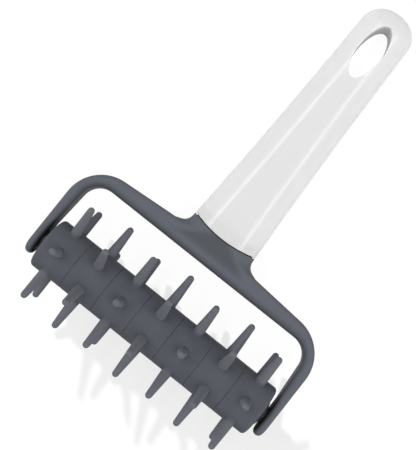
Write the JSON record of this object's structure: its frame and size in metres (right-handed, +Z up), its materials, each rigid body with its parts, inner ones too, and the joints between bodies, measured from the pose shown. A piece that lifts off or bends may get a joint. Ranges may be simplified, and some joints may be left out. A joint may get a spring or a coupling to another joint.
{
  "type": "dough docker",
  "caption": "Hand-held dough docker: a roller of staggered spiked rings turning on an axle in a forked yoke, with a tapered handle that has an oval hanging hole.",
  "frame": {"origin": "on the table that the tool lies on, under the middle of its box", "axes": "+X along the roller, to the right with the handle pointing away; +Y from the roller to the handle's end; +Z up off the table"},
  "size_m": [0.1318, 0.2014, 0.0553],
  "materials": {
    "white_handle": "smooth gloss moulding",
    "grey_yoke": "satin moulding",
    "grey_rings": "fine matt moulding",
    "steel_axle": "ground rod",
    "dark_bearing": "smooth bearing plastic"
  },
  "bodies": {
    "frame": {"handle": "white_handle", "yoke": "grey_yoke", "axle_rod": "steel_axle", "axle_washer_left": "dark_bearing", "axle_washer_right": "dark_bearing"},
    "roller": {"roller_core": "dark_bearing", "retaining_cap": "dark_bearing", "bush_left": "dark_bearing", "bush_right": "dark_bearing", "spiked_ring_1": "grey_rings", "spiked_ring_2": "grey_rings", "spiked_ring_3": "grey_rings", "spiked_ring_4": "grey_rings", "spiked_ring_5": "grey_rings", "spiked_ring_6": "grey_rings", "spiked_ring_7": "grey_rings"}
  },
  "joints": [
    {"name": "roller_spin", "type": "hinge", "parent": "frame", "child": "roller", "pos_m": [0, -0.0731, 0.02764], "axis": [1, 0, 0], "continuous": true}
  ]
}
